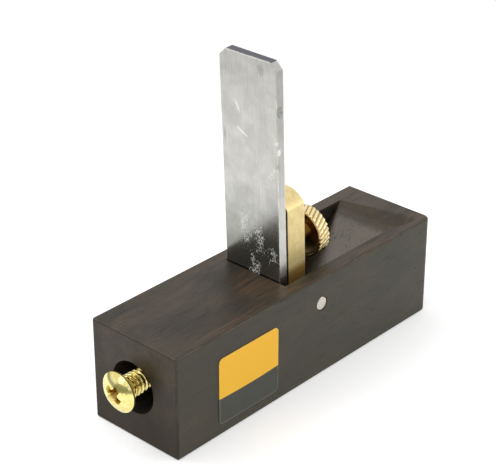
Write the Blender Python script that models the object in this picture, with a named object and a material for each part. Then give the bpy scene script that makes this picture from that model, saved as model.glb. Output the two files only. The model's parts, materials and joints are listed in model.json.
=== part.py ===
# Small wooden scraping plane: an ebony block with a nearly upright iron, held by a brass lever cap
# that rocks on a cross pin and is tightened by a knurled thumb screw, and backed by a heel screw.
# +X points to the toe, -Y is the side with the label, and the sole lies on Z = 0.
import math

import bmesh
import bpy

MM = 0.001
CLEARANCE = 0.3 * MM              # between pieces that touch or slide on each other
CUT_MARGIN = 2.0 * MM             # how far a cutter reaches past the face that it opens

# Wooden body
BODY_LENGTH = 102.0 * MM
BODY_WIDTH = 29.8 * MM
BODY_HEIGHT = 29.7 * MM
EDGE_ROUND = 0.6 * MM             # all outer edges are eased
TOE_CORNER_ROUND = 2.4 * MM       # upright corner at the toe, on the label's side
HEEL_LENGTH = 45.9 * MM           # heel end to the bed, on the sole
TOE_LAND = 9.4 * MM               # flat top between the ramp and the toe end
MOUTH_OPENING = 1.8 * MM          # gap in front of the iron's edge, on the sole
MOUTH_LIP = 2.0 * MM              # upright wall between the sole and the ramp

# Plane iron
IRON_LEAN = math.radians(2.3)     # its top leans towards the heel
IRON_LENGTH = 91.1 * MM
IRON_WIDTH = 18.9 * MM
IRON_THICKNESS = 2.6 * MM
IRON_CORNER = 2.1 * MM            # cut off each top corner
IRON_GRIND = math.radians(35.0)   # angle of the ground edge
IRON_SIDE_PLAY = 2.0 * MM         # free width beside the iron, on the label side
EDGE_RETREAT = 0.5 * MM           # the edge stands this far above the sole

# Cross pin and lever cap
PIN_RADIUS = 2.0 * MM
PIN_CHAMFER = 0.3 * MM
PIN_HEIGHT = 21.9 * MM            # above the sole
CAP_WIDTH = 11.6 * MM
CAP_THICKNESS = 7.0 * MM
CAP_STANDOFF = 3.3 * MM           # space between the cap's back and the iron
CAP_ABOVE_PIN = 28.9 * MM         # to the crown of its arched top
CAP_ARCH_RISE = 3.2 * MM
CAP_FOOT_REST = 5.5 * MM          # lower end of the cap, up the iron from the sole
CAP_FOOT_HEIGHT = 4.5 * MM        # foot that bears on the iron
CAP_NOSE_HEIGHT = 10.0 * MM       # sloped front above the foot
CAP_NOSE_LAND = 1.5 * MM          # thickness of the foot's lower end

# Knurled thumb screw
THUMB_ARM = 12.3 * MM             # from the cross pin up to the screw's axis
THUMB_RADIUS = 2.0 * MM
THUMB_PITCH = 0.7 * MM
THUMB_REACH = 5.1 * MM            # bare thread between the cap and the head
THUMB_HEAD_RADIUS = 7.15 * MM
THUMB_HEAD_THICKNESS = 4.2 * MM
THUMB_CHAMFER = 0.35 * MM
THUMB_RIM = 0.8 * MM              # rim around the hollow under the head
THUMB_HOLLOW = 2.0 * MM           # depth of that hollow
THUMB_HUB = 0.6 * MM              # flat round the stud at the hollow's bottom
KNURL_RIDGES = 36
KNURL_ROWS = 5
KNURL_DEPTH = 0.35 * MM

# Heel screw and the insert that it runs in
HEEL_AXIS_HEIGHT = 16.1 * MM      # above the sole
HEEL_AXIS_OFFSET = 0.6 * MM       # from the body's middle, away from the label
HEEL_RADIUS = 3.2 * MM
HEEL_PITCH = 1.27 * MM
HEEL_HEAD_RADIUS = 5.6 * MM
HEEL_HEAD_RIM = 0.6 * MM          # straight part of the head
HEEL_HEAD_DOME = 2.2 * MM
HEEL_STANDOFF = 4.4 * MM          # heel end to the underside of the head
HEEL_BACK_OFF = 5.0 * MM          # how far the screw is backed out
RECESS_SPAN = 5.2 * MM            # cross recess: across its arms
RECESS_WIDTH = 1.2 * MM
RECESS_DEPTH = 2.2 * MM
RECESS_TIP = 1.8 * MM             # across its arms at the bottom
RECESS_TURN = math.radians(34.0)
COUNTERBORE_RADIUS = 7.3 * MM
COUNTERBORE_DEPTH = 14.0 * MM
COUNTERBORE_DROP = 1.0 * MM       # its middle lies below the screw's axis
INSERT_RADIUS = 4.7 * MM
INSERT_LENGTH = 13.0 * MM
FLANGE_GAP = 0.5 * MM             # between its flange and the counterbore
FLANGE_THICKNESS = 1.2 * MM

# Both screws
THREAD_DEPTH_PER_PITCH = 0.61
POINT_SHOULDER = 0.1 * MM         # plain end is this much thinner than the thread's root
POINT_CHAMFER = 0.3 * MM

# Blank label on the near side
LABEL_LENGTH = 22.2 * MM
LABEL_HEIGHT = 19.4 * MM
LABEL_THICKNESS = 0.15 * MM
LABEL_CORNER = 1.4 * MM
LABEL_FROM_HEEL = 14.9 * MM
LABEL_FROM_SOLE = 3.4 * MM
GLUE_GAP = 0.1 * MM

# Facets
BORE_SIDES = 40
SCREW_SIDES = 20
ARCH_STEPS = 14
CORNER_STEPS = 3
EDGE_STEPS = 2
DOME_STEPS = 5

# Places that follow from the sizes; along = across the iron, up = along it, both in the leaning frame
HEEL_X = -BODY_LENGTH / 2
TOE_X = BODY_LENGTH / 2
MOUTH_X = HEEL_X + HEEL_LENGTH
IRON_BACK = CLEARANCE
IRON_FRONT = IRON_BACK + IRON_THICKNESS
CAP_BACK = IRON_FRONT + CAP_STANDOFF
PIN_ALONG = CAP_BACK + CAP_THICKNESS / 2
PIN_UP = (PIN_HEIGHT - PIN_ALONG * math.sin(IRON_LEAN)) / math.cos(IRON_LEAN)
MORTISE_HALF = (IRON_WIDTH + IRON_SIDE_PLAY + CLEARANCE) / 2
IRON_Y = MORTISE_HALF - CLEARANCE - IRON_WIDTH / 2
FLANGE_RADIUS = COUNTERBORE_RADIUS - COUNTERBORE_DROP - FLANGE_GAP
FOOTPRINT_LOW = HEEL_X - HEEL_STANDOFF - HEEL_HEAD_RIM - HEEL_HEAD_DOME
ROOT_X = -(FOOTPRINT_LOW + TOE_X) / 2

FINISHES = {
    "ebony": ((0.055, 0.040, 0.034), 0.45, 0.0),
    "steel": ((0.56, 0.56, 0.55), 0.32, 1.0),
    "brass": ((0.80, 0.58, 0.24), 0.28, 1.0),
    "pin_steel": ((0.62, 0.60, 0.58), 0.35, 1.0),
    "label": ((0.85, 0.46, 0.05), 0.55, 0.0),
}


def on_plane(along, z):
    """X where the plane at that place in the leaning frame is z above the sole."""
    return MOUTH_X + (along - z * math.sin(IRON_LEAN)) / math.cos(IRON_LEAN)


def pin_place():
    return (on_plane(PIN_ALONG, PIN_HEIGHT), 0, PIN_HEIGHT)


def finish(name):
    material = bpy.data.materials.get(name)
    if material is None:
        colour, roughness, metallic = FINISHES[name]
        material = bpy.data.materials.new(name)
        material.use_nodes = True
        shader = material.node_tree.nodes["Principled BSDF"]
        shader.inputs["Base Color"].default_value = (*colour, 1.0)
        shader.inputs["Roughness"].default_value = roughness
        shader.inputs["Metallic"].default_value = metallic
    return material


def empty(name, parent=None, location=(0, 0, 0), rotation=(0, 0, 0)):
    frame = bpy.data.objects.new(name, None)
    bpy.context.scene.collection.objects.link(frame)
    frame.parent = parent
    frame.location = location
    frame.rotation_euler = rotation
    return frame


def solid(name, shape, parent, material=None, location=(0, 0, 0), rotation=(0, 0, 0)):
    """An object from a bmesh; without a material it is a cutter."""
    bmesh.ops.recalc_face_normals(shape, faces=shape.faces)
    mesh = bpy.data.meshes.new(name)
    shape.to_mesh(mesh)
    shape.free()
    piece = bpy.data.objects.new(name, mesh)
    bpy.context.scene.collection.objects.link(piece)
    piece.parent = parent
    piece.location = location
    piece.rotation_euler = rotation
    if material:
        mesh.materials.append(finish(material))
        mesh.shade_smooth()
        mesh.set_sharp_from_angle(angle=math.radians(30))
    else:
        piece.hide_render = True
        piece.display_type = "WIRE"
    return piece


def combine(piece, other, operation="DIFFERENCE"):
    step = piece.modifiers.new(other.name, "BOOLEAN")
    step.operation = operation
    step.object = other


def prism(outline, depth, across):
    """A closed bar: an outline in the two other axes, centred across the named axis."""
    place = {
        "X": lambda a, b, d: (d, a, b),
        "Y": lambda a, b, d: (a, d, b),
    }[across]
    shape = bmesh.new()
    ends = [[shape.verts.new(place(a, b, side * depth / 2)) for a, b in outline] for side in (-1, 1)]
    for end in ends:
        shape.faces.new(end)
    skin(shape, ends[0], ends[1])
    return shape


def arc(centre, radius, start, end, steps):
    angles = [start + (end - start) * k / steps for k in range(steps + 1)]
    return [(centre[0] + radius * math.cos(t), centre[1] + radius * math.sin(t)) for t in angles]


def ring(shape, z, radius, sides):
    turns = [2 * math.pi * k / sides for k in range(sides)]
    return [shape.verts.new((radius * math.cos(t), radius * math.sin(t), z)) for t in turns]


def skin(shape, low, high):
    for k in range(len(low)):
        j = (k + 1) % len(low)
        shape.faces.new((low[k], low[j], high[j], high[k]))


def cap_end(shape, loop, z):
    pole = shape.verts.new((0, 0, z))
    for k in range(len(loop)):
        shape.faces.new((loop[k], loop[(k + 1) % len(loop)], pole))


def turned(profile, sides, hollow=False):
    """A body turned about Z from (z, radius) pairs; a hollow one is a closed section round the axis."""
    shape = bmesh.new()
    rings = [ring(shape, z, radius, sides) for z, radius in profile]
    for low, high in zip(rings, rings[1:]):
        skin(shape, low, high)
    if hollow:
        skin(shape, rings[-1], rings[0])
    else:
        cap_end(shape, rings[0], profile[0][0])
        cap_end(shape, rings[-1], profile[-1][0])
    return shape


def cylinder(low, high, radius, sides=BORE_SIDES):
    return turned([(low, radius), (high, radius)], sides)


def root_of(radius, pitch):
    return radius - pitch * THREAD_DEPTH_PER_PITCH


def whole_turns(length, pitch):
    return max(2, round(length / pitch))


def threaded(crown, head, radius, pitch, length):
    """A screw about Z: crown and (z, radius) pairs of the head, then a right-hand thread from z = 0."""
    shape = bmesh.new()
    sides = SCREW_SIDES
    root_radius = root_of(radius, pitch)
    rings = [ring(shape, z, r, sides) for z, r in head] + [ring(shape, 0.0, root_radius, sides)]
    cap_end(shape, rings[0], crown)
    for low, high in zip(rings, rings[1:]):
        skin(shape, low, high)
    first = rings[-1]
    turns = whole_turns(length, pitch)
    last = ring(shape, turns * pitch, root_radius, sides)
    cap_end(shape, last, turns * pitch)

    def on_helix(step, r, rise):
        t = 2 * math.pi * step / sides
        return shape.verts.new((r * math.cos(t), r * math.sin(t), pitch * (step / sides + rise)))

    end = (turns - 1) * sides
    roots = [first[0]] + [on_helix(i, root_radius, 0.0) for i in range(1, end + sides)] + [last[0]]
    crests = [on_helix(i, radius, 0.5) for i in range(end + 1)]
    for i in range(end):
        shape.faces.new((roots[i], roots[i + 1], crests[i + 1], crests[i]))
        shape.faces.new((crests[i], crests[i + 1], roots[i + 1 + sides], roots[i + sides]))
    for i in range(sides):
        j = (i + 1) % sides
        start = [first[i], first[j], roots[i + 1], roots[i]]
        run_out = [roots[end + i], roots[end + i + 1], last[j], last[i]]
        shape.faces.new(start[:3] if i == 0 else start)
        shape.faces.new([run_out[0], run_out[1], run_out[3]] if j == 0 else run_out)
    shape.faces.new((roots[0], crests[0], roots[sides]))
    shape.faces.new((roots[end], crests[end], roots[end + sides]))
    return shape


def plain_point(radius, length):
    """The unthreaded end of a screw, with a chamfered tip."""
    profile = [(0.0, radius), (length - POINT_CHAMFER, radius), (length, radius - POINT_CHAMFER)]
    return turned(profile, SCREW_SIDES)


def block(corners, height):
    """An upright block on its four (x, y) corners, with the near corner at the toe rounded."""
    shape = bmesh.new()
    lower = [shape.verts.new((x, y, 0.0)) for x, y in corners]
    upper = [shape.verts.new((x, y, height)) for x, y in corners]
    shape.faces.new(lower)
    shape.faces.new(upper)
    skin(shape, lower, upper)
    upright = [e for e in shape.edges if e.verts[0].co.z != e.verts[1].co.z]
    near_toe = [e for e in upright if e.verts[0].co.x > 0 and e.verts[0].co.y < 0]
    bmesh.ops.bevel(
        shape,
        geom=near_toe,
        offset=TOE_CORNER_ROUND,
        segments=CORNER_STEPS,
        profile=0.5,              # a round profile
        affect="EDGES",
    )
    return shape


def plane_body(root):
    half = BODY_WIDTH / 2
    corners = [(HEEL_X, -half), (TOE_X, -half), (TOE_X, half), (HEEL_X, half)]
    body = solid("plane_body", block(corners, BODY_HEIGHT), root, "ebony")
    eased = body.modifiers.new("eased_edges", "BEVEL")
    eased.width = EDGE_ROUND
    eased.segments = EDGE_STEPS
    eased.limit_method = "ANGLE"
    eased.angle_limit = math.radians(60)

    mouth_front = on_plane(IRON_FRONT, 0.0) + MOUTH_OPENING
    slope = (BODY_HEIGHT - MOUTH_LIP) / (TOE_X - TOE_LAND - mouth_front)
    below, above = -CUT_MARGIN, BODY_HEIGHT + CUT_MARGIN
    throat = [
        (on_plane(0.0, below), below),
        (mouth_front, below),
        (mouth_front, MOUTH_LIP),
        (mouth_front + (above - MOUTH_LIP) / slope, above),
        (on_plane(0.0, above), above),
    ]
    combine(body, solid("throat_cut", prism(throat, 2 * MORTISE_HALF, "Y"), root))

    reach = half + CUT_MARGIN
    pin_bore = cylinder(-reach, reach, PIN_RADIUS + CLEARANCE)
    combine(body, solid("pin_cut", pin_bore, root, None, pin_place(), (math.pi / 2, 0, 0)))

    insert_end = COUNTERBORE_DEPTH + INSERT_LENGTH + CLEARANCE
    bore = [
        (COUNTERBORE_DEPTH - CUT_MARGIN, INSERT_RADIUS + CLEARANCE),
        (insert_end, INSERT_RADIUS + CLEARANCE),
        (insert_end, HEEL_RADIUS + CLEARANCE),
        (HEEL_LENGTH + CUT_MARGIN, HEEL_RADIUS + CLEARANCE),
    ]
    along_x = (0, math.pi / 2, 0)
    place = (HEEL_X, HEEL_AXIS_OFFSET, HEEL_AXIS_HEIGHT)
    combine(body, solid("heel_cut", turned(bore, BORE_SIDES), root, None, place, along_x))
    wide = cylinder(-CUT_MARGIN, COUNTERBORE_DEPTH, COUNTERBORE_RADIUS)
    place = (HEEL_X, HEEL_AXIS_OFFSET, HEEL_AXIS_HEIGHT - COUNTERBORE_DROP)
    combine(body, solid("counterbore_cut", wide, root, None, place, along_x))


def cross_pin(root):
    half = BODY_WIDTH / 2
    profile = [
        (-half, PIN_RADIUS - PIN_CHAMFER),
        (PIN_CHAMFER - half, PIN_RADIUS),
        (half - PIN_CHAMFER, PIN_RADIUS),
        (half, PIN_RADIUS - PIN_CHAMFER),
    ]
    solid("cross_pin", turned(profile, BORE_SIDES), root, "pin_steel", pin_place(), (math.pi / 2, 0, 0))


def plane_iron(leaning):
    top = EDGE_RETREAT + IRON_LENGTH
    grind = EDGE_RETREAT + IRON_THICKNESS / math.tan(IRON_GRIND)
    side = [(IRON_FRONT, EDGE_RETREAT), (IRON_FRONT, top), (IRON_BACK, top), (IRON_BACK, grind)]
    iron = solid("plane_iron", prism(side, IRON_WIDTH, "Y"), leaning, "steel", (0, IRON_Y, 0))
    half = IRON_WIDTH / 2
    corner = [
        (half + CUT_MARGIN, top - IRON_CORNER - CUT_MARGIN),
        (half + CUT_MARGIN, top + CUT_MARGIN),
        (half - IRON_CORNER - CUT_MARGIN, top + CUT_MARGIN),
    ]
    place = (IRON_BACK + IRON_THICKNESS / 2, IRON_Y, 0)
    for name, hand in (("near", -1), ("far", 1)):
        cut = prism([(hand * y, z) for y, z in corner], 2 * IRON_THICKNESS, "X")
        combine(iron, solid(f"{name}_corner_cut", cut, leaning, None, place))


def lever_cap(pivot):
    half = CAP_THICKNESS / 2
    foot = -(half + CAP_STANDOFF - CLEARANCE)
    low = CAP_FOOT_REST - PIN_UP
    side = [
        (foot, low),
        (foot + CAP_NOSE_LAND, low),
        (half, low + CAP_NOSE_HEIGHT),
        (half, CAP_ABOVE_PIN + CUT_MARGIN),
        (-half, CAP_ABOVE_PIN + CUT_MARGIN),
        (-half, low + CAP_FOOT_HEIGHT + CAP_STANDOFF),
        (foot, low + CAP_FOOT_HEIGHT),
    ]
    cap = solid("lever_cap", prism(side, CAP_WIDTH, "Y"), pivot, "brass")

    half_width = CAP_WIDTH / 2
    radius = (half_width ** 2 + CAP_ARCH_RISE ** 2) / (2 * CAP_ARCH_RISE)
    spread = math.asin(half_width / radius)
    centre = (0, CAP_ABOVE_PIN - radius)
    crown = arc(centre, radius, math.pi / 2 - spread, math.pi / 2 + spread, ARCH_STEPS)
    wide = half_width + CUT_MARGIN
    spring = CAP_ABOVE_PIN - CAP_ARCH_RISE
    over = CAP_ABOVE_PIN + 2 * CUT_MARGIN
    outside = crown + [(-wide, spring), (-wide, over), (wide, over), (wide, spring)]
    combine(cap, solid("arch_cut", prism(outside, CAP_THICKNESS + 2 * CUT_MARGIN, "X"), pivot))

    pin_hole = cylinder(-wide, wide, PIN_RADIUS + CLEARANCE)
    combine(cap, solid("cap_pin_cut", pin_hole, pivot, None, (0, 0, 0), (math.pi / 2, 0, 0)))
    through = half + CUT_MARGIN
    screw_hole = cylinder(-through, through, THUMB_RADIUS + CLEARANCE)
    combine(cap, solid("cap_screw_cut", screw_hole, pivot, None, (0, 0, THUMB_ARM), (0, math.pi / 2, 0)))


def knurled_head():
    """The head about Z, from its outer face at 0 to its rim, with a diamond knurl and a hollow underside."""
    shape = bmesh.new()
    sides = 2 * KNURL_RIDGES
    root = THUMB_HEAD_RADIUS - KNURL_DEPTH
    first, last = THUMB_CHAMFER, THUMB_HEAD_THICKNESS - THUMB_CHAMFER
    face = root - THUMB_CHAMFER
    floor = THUMB_HEAD_THICKNESS - THUMB_HOLLOW
    rings = [ring(shape, 0.0, face, sides), ring(shape, first, root, sides)]
    for row in range(KNURL_ROWS):
        z = first + (last - first) * (row + 0.5) / KNURL_ROWS
        rings.append(ring(shape, z, root, sides))
        for k, vert in enumerate(rings[-1]):
            if (k + row) % 2:
                vert.co.xy *= THUMB_HEAD_RADIUS / root
    rings.append(ring(shape, last, root, sides))
    rings.append(ring(shape, THUMB_HEAD_THICKNESS, face, sides))
    rings.append(ring(shape, THUMB_HEAD_THICKNESS, face - THUMB_RIM, sides))
    rings.append(ring(shape, floor, THUMB_RADIUS + THUMB_HUB, sides))
    for low, high in zip(rings, rings[1:]):
        skin(shape, low, high)
    cap_end(shape, rings[0], 0.0)
    cap_end(shape, rings[-1], floor)
    return shape


def thumb_screw(axis):
    """The axis frame sits on the pin's plane with +Z running from the head to the iron."""
    head_inner = -(CAP_THICKNESS / 2 + THUMB_REACH)
    neck_start = -(THUMB_HEAD_THICKNESS + THUMB_HOLLOW) / 2
    root_radius = root_of(THUMB_RADIUS, THUMB_PITCH)
    stud_length = CAP_THICKNESS + THUMB_REACH
    stud = threaded(neck_start, [(neck_start, root_radius)], THUMB_RADIUS, THUMB_PITCH, stud_length)
    screw = solid("thumb_screw", stud, axis, "brass", (0, 0, head_inner))
    head_place = (0, 0, head_inner - THUMB_HEAD_THICKNESS)
    combine(screw, solid("thumb_head", knurled_head(), axis, None, head_place), "UNION")

    point_start = head_inner + whole_turns(stud_length, THUMB_PITCH) * THUMB_PITCH + CLEARANCE
    point_end = CAP_THICKNESS / 2 + CAP_STANDOFF - CLEARANCE
    point = plain_point(root_radius - POINT_SHOULDER, point_end - point_start)
    solid("thumb_screw_point", point, axis, "brass", (0, 0, point_start))


def heel_screw(axis):
    """The axis frame sits on the heel end with +Z running into the body."""
    under = -HEEL_STANDOFF
    crown = -(HEEL_HEAD_RIM + HEEL_HEAD_DOME)
    head = []
    for k in range(1, DOME_STEPS + 1):
        t = math.pi / 2 * k / DOME_STEPS
        head.append((-HEEL_HEAD_RIM - HEEL_HEAD_DOME * math.cos(t), HEEL_HEAD_RADIUS * math.sin(t)))
    head.append((0.0, HEEL_HEAD_RADIUS))
    thread_length = COUNTERBORE_DEPTH + INSERT_LENGTH + HEEL_BACK_OFF - under
    shape = threaded(crown, head, HEEL_RADIUS, HEEL_PITCH, thread_length)
    screw = solid("heel_screw", shape, axis, "brass", (0, 0, under))

    deep = crown + RECESS_DEPTH
    out = crown - CUT_MARGIN
    flare = RECESS_SPAN + (RECESS_SPAN - RECESS_TIP) * CUT_MARGIN / RECESS_DEPTH
    arm = [(-flare / 2, out), (flare / 2, out), (RECESS_TIP / 2, deep), (-RECESS_TIP / 2, deep)]
    for across in ("X", "Y"):
        cut = prism(arm, RECESS_WIDTH, across)
        turn = (0, 0, RECESS_TURN)
        combine(screw, solid(f"recess_cut_{across}", cut, axis, None, (0, 0, under), turn))

    point_radius = root_of(HEEL_RADIUS, HEEL_PITCH) - POINT_SHOULDER
    point_start = under + whole_turns(thread_length, HEEL_PITCH) * HEEL_PITCH + CLEARANCE
    point_end = on_plane(IRON_BACK, HEEL_AXIS_HEIGHT + point_radius) - CLEARANCE - HEEL_X
    point = plain_point(point_radius, point_end - point_start)
    solid("heel_screw_point", point, axis, "brass", (0, 0, point_start))


def screw_insert(axis):
    bore = HEEL_RADIUS + CLEARANCE
    seat = COUNTERBORE_DEPTH - CLEARANCE
    end = COUNTERBORE_DEPTH + INSERT_LENGTH
    section = [
        (seat - FLANGE_THICKNESS, bore),
        (seat - FLANGE_THICKNESS, FLANGE_RADIUS),
        (seat, FLANGE_RADIUS),
        (seat, INSERT_RADIUS),
        (end, INSERT_RADIUS),
        (end, bore),
    ]
    solid("screw_insert", turned(section, BORE_SIDES, hollow=True), axis, "brass")


def label(root):
    left = HEEL_X + LABEL_FROM_HEEL
    right = left + LABEL_LENGTH
    low, high = LABEL_FROM_SOLE, LABEL_FROM_SOLE + LABEL_HEIGHT
    r = LABEL_CORNER
    corners = [(right - r, high - r), (left + r, high - r), (left + r, low + r), (right - r, low + r)]
    outline = []
    for k, centre in enumerate(corners):
        outline += arc(centre, r, k * math.pi / 2, (k + 1) * math.pi / 2, CORNER_STEPS)
    place = (0, -(BODY_WIDTH / 2 + GLUE_GAP + LABEL_THICKNESS / 2), 0)
    solid("label", prism(outline, LABEL_THICKNESS, "Y"), root, "label", place)


def main():
    for old in list(bpy.data.objects):
        bpy.data.objects.remove(old, do_unlink=True)
    root = empty("plane_root", None, (ROOT_X, 0, 0))
    leaning = empty("iron_seat", root, (MOUTH_X, 0, 0), (0, -IRON_LEAN, 0))
    pivot = empty("cap_pivot", root, pin_place(), (0, -IRON_LEAN, 0))
    thumb_axis = empty("thumb_axis", pivot, (0, 0, THUMB_ARM), (0, -math.pi / 2, 0))
    heel_place = (HEEL_X, HEEL_AXIS_OFFSET, HEEL_AXIS_HEIGHT)
    heel_axis = empty("heel_axis", root, heel_place, (0, math.pi / 2, 0))
    plane_body(root)
    cross_pin(root)
    plane_iron(leaning)
    lever_cap(pivot)
    thumb_screw(thumb_axis)
    screw_insert(heel_axis)
    heel_screw(heel_axis)
    label(root)


main()
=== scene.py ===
import json
import math

import bmesh
import bpy
from mathutils import Matrix, Vector


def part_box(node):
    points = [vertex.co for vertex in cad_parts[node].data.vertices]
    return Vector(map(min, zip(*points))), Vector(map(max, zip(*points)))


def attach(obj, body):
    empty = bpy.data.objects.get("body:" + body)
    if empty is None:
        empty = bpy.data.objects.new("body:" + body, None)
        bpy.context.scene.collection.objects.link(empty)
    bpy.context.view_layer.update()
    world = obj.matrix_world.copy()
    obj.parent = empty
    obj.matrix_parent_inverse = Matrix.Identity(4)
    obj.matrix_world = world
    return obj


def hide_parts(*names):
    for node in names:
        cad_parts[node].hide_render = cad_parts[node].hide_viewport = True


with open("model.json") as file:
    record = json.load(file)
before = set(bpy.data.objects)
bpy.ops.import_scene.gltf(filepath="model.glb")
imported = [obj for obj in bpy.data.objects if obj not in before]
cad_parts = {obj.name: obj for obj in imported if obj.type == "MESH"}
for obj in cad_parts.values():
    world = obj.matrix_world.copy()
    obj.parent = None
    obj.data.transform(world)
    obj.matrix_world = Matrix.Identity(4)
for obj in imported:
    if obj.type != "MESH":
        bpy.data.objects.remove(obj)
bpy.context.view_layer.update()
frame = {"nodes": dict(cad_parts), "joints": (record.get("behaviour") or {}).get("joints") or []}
print("frame loaded:", len(frame["nodes"]), "solids")

mm = 0.001  # shapes are drawn in millimetres, in the piece's own axes, and then set in the frame
scene = bpy.context.scene
joints = {joint["name"]: joint for joint in frame["joints"]}


def jointFrame(at, along):  # at one joint's place, Z along another's axis, Y across the plane
    z = Vector(joints[along]["axis"]).normalized()
    y = Vector((0, 1, 0))
    place = Matrix((y.cross(z), y, z)).transposed().to_4x4()
    place.translation = joints[at]["pos_m"]
    return place


def localBox(node, place):  # a solid's corners in millimetres, in that frame
    inverse = place.inverted()
    points = [inverse @ v.co / mm for v in frame["nodes"][node].data.vertices]
    low = Vector([min(p[i] for p in points) for i in range(3)])
    high = Vector([max(p[i] for p in points) for i in range(3)])
    return low, high


def addObject(name, data):
    item = bpy.data.objects.new(name, data)
    scene.collection.objects.link(item)
    return item


bodyLow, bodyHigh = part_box("plane_body")
bodyFrame = Matrix.Translation((bodyLow.x, 0, bodyLow.z))  # from the heel end, on the sole
ironFrame = jointFrame("cap_rock", "iron_slide")  # at the cross pin
thumbFrame = jointFrame("thumb_turn", "thumb_turn")
heelFrame = jointFrame("heel_turn", "heel_turn")


# Node helpers

def plug(tree, socket, value):
    if isinstance(value, bpy.types.NodeSocket):
        tree.links.new(value, socket)
    else:
        socket.default_value = value


def addNode(tree, kind, inputs=None, **settings):
    node = tree.nodes.new(kind)
    for name, value in settings.items():
        setattr(node, name, value)
    for name, value in (inputs or {}).items():
        plug(tree, node.inputs[name], value)
    return node


def calc(tree, operation, first, second=0.0):
    return addNode(tree, "ShaderNodeMath", {0: first, 1: second}, operation=operation).outputs[0]


def vectorCalc(tree, operation, first, second=(0, 0, 0)):
    return addNode(tree, "ShaderNodeVectorMath", {0: first, 1: second}, operation=operation).outputs[0]


def times(tree, first, *others):
    for other in others:
        first = calc(tree, "MULTIPLY", first, other)
    return first


def weighted(tree, *shares, start=0.0):  # start plus the sum of (value, weight) pairs
    for value, weight in shares:
        start = calc(tree, "ADD", start, times(tree, value, weight))
    return start


def length(tree, vector):
    return addNode(tree, "ShaderNodeVectorMath", {0: vector}, operation="LENGTH").outputs["Value"]


def split(tree, vector):
    return addNode(tree, "ShaderNodeSeparateXYZ", {"Vector": vector}).outputs


def combined(tree, **axes):
    return addNode(tree, "ShaderNodeCombineXYZ", axes).outputs[0]


def fade(tree, value, start, stop, low=0.0, high=1.0):
    limits = {"Value": value, "From Min": start, "From Max": stop, "To Min": low, "To Max": high}
    return addNode(tree, "ShaderNodeMapRange", limits, interpolation_type="SMOOTHSTEP").outputs[0]


def mixColour(tree, factor, first, second):
    inputs = {0: factor, 6: first, 7: second}  # by number: some share a name
    return addNode(tree, "ShaderNodeMix", inputs, data_type="RGBA").outputs[2]


def layer(tree, colour, mask, look, name):  # lays one of the look's colours over the rest, at its share
    return mixColour(tree, times(tree, mask, look[name + "Share"]), colour, look[name])


def noise(tree, vector, scale, detail=3.0, roughness=0.5, distortion=0.0):
    inputs = {"Vector": vector, "Scale": scale, "Detail": detail, "Roughness": roughness,
              "Distortion": distortion}
    return addNode(tree, "ShaderNodeTexNoise", inputs).outputs[0]


def swirl(tree, vector, scale, detail):  # three noises in one, to bend a pattern
    inputs = {"Vector": vector, "Scale": scale, "Detail": detail}
    return addNode(tree, "ShaderNodeTexNoise", inputs).outputs["Color"]


def stretched(tree, vector, scale):
    return vectorCalc(tree, "MULTIPLY", vector, scale)


def pieceCoords(tree, place):  # object coordinates in the piece's own axes, in millimetres
    objectCoords = addNode(tree, "ShaderNodeTexCoord").outputs["Object"]
    inputs = {"Vector": objectCoords, "Location": place.translation, "Rotation": place.to_euler(),
              "Scale": (mm, mm, mm)}
    return addNode(tree, "ShaderNodeMapping", inputs, vector_type="TEXTURE").outputs[0]


def newGroup(name, output, outputKind="Float", **inputs):
    family = "Geometry" if outputKind == "Geometry" else "Shader"
    tree = bpy.data.node_groups.new(name, family + "NodeTree")
    for socket, kind in inputs.items():
        tree.interface.new_socket(socket, in_out="INPUT", socket_type="NodeSocket" + kind)
    tree.interface.new_socket(output, in_out="OUTPUT", socket_type="NodeSocket" + outputKind)
    return tree, tree.nodes.new("NodeGroupInput").outputs, tree.nodes.new("NodeGroupOutput").inputs[output]


def effect(tree, group, **inputs):  # places a shared effect with this material's own values
    return addNode(tree, "ShaderNodeGroup", inputs, node_tree=group).outputs[0]


def newMaterial(name):
    material = bpy.data.materials.new(name)
    material.use_nodes = True
    return material, material.node_tree


def fill(tree, values):  # sets or links the shader's sockets
    for name, value in values.items():
        plug(tree, tree.nodes["Principled BSDF"].inputs[name], value)


def bumped(tree, height, distance, strength):  # distance in millimetres
    inputs = {"Height": height, "Distance": distance * mm, "Strength": strength}
    return addNode(tree, "ShaderNodeBump", inputs).outputs[0]


# Shared effects

def buildEdgeWear():  # ragged mask along the edges of a box
    tree, given, mask = newGroup("edgeWear", "mask", vector="Vector", low="Vector", high="Vector",
                                 width="Float", patch="Float")
    inside = vectorCalc(tree, "MINIMUM", vectorCalc(tree, "SUBTRACT", given["vector"], given["low"]),
                        vectorCalc(tree, "SUBTRACT", given["high"], given["vector"]))
    x, y, z = split(tree, inside)
    corner = calc(tree, "MINIMUM", calc(tree, "MAXIMUM", x, y),
                  calc(tree, "MINIMUM", calc(tree, "MAXIMUM", y, z), calc(tree, "MAXIMUM", x, z)))
    ragged = calc(tree, "SUBTRACT", noise(tree, given["vector"], given["patch"], 4.0), 0.5)
    reach = weighted(tree, (times(tree, ragged, given["width"]), 4.0), start=corner)
    plug(tree, mask, fade(tree, reach, given["width"], 0.0))
    return tree


def buildBrushing():  # long fine lines left by grinding or rubbing
    tree, given, lines = newGroup("brushing", "lines", vector="Vector", stretch="Vector")
    along = stretched(tree, given["vector"], given["stretch"])
    broad = noise(tree, along, 1.0, 3.0, 0.6)
    fine = noise(tree, along, 4.3, 2.0, 0.6)
    plug(tree, lines, weighted(tree, (broad, 0.55), (fine, 0.45)))
    return tree


def buildMottle():  # cloudy unevenness
    tree, given, value = newGroup("mottle", "value", vector="Vector", scale="Float", hardness="Float")
    cloud = noise(tree, given["vector"], given["scale"], 5.0, 0.6, 0.4)
    low = times(tree, given["hardness"], 0.5)
    plug(tree, value, fade(tree, cloud, low, calc(tree, "SUBTRACT", 1.0, low)))
    return tree


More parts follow.
